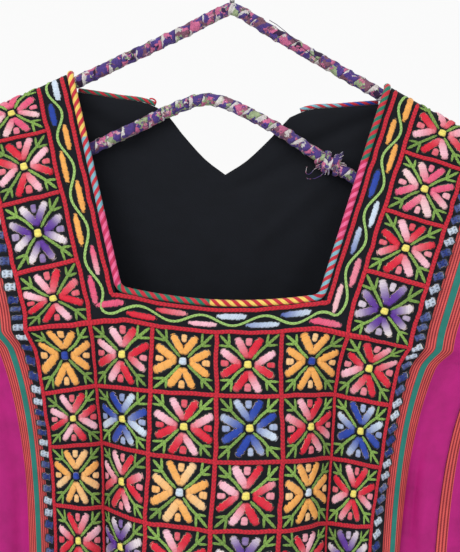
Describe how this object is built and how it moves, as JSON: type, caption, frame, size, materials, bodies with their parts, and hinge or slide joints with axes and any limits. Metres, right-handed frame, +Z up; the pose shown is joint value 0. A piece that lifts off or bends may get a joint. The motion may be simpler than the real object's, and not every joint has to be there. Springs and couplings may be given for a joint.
{
  "type": "embroidered thobe dress on a wrapped hanger",
  "caption": "Long hand-embroidered thobe dress with a square neck, stitched chest panel and open sleeves, hung on a cloth-wrapped loop hanger.",
  "frame": {"origin": "the seat inside the hanger's hook, where a rail carries it", "axes": "+Z up, -Y out of the front, +X to the right of someone who looks at the front"},
  "size_m": [0.792, 0.101, 1.4484],
  "materials": {
    "black_cotton": "matt plain-woven cotton",
    "stitched_panel": "satin-stitched cotton thread on black cotton",
    "striped_magenta": "striped woven cloth with a soft sheen",
    "neck_rope": "satin-stitched cotton thread",
    "flowered_wrap": "printed cotton strips wound on wire",
    "hook_wire": "plain drawn wire"
  },
  "bodies": {
    "root": {"front_body": "black_cotton", "chest_panel": "stitched_panel", "back_body": "black_cotton", "side_gore_left": "striped_magenta", "side_gore_right": "striped_magenta", "sleeve_left": "striped_magenta", "sleeve_right": "striped_magenta", "neck_edging_front": "neck_rope", "neck_edging_back_left": "neck_rope", "neck_edging_back_right": "neck_rope", "hanger_arms": "flowered_wrap", "hanger_bar": "flowered_wrap", "hanger_hook": "hook_wire"}
  },
  "joints": []
}
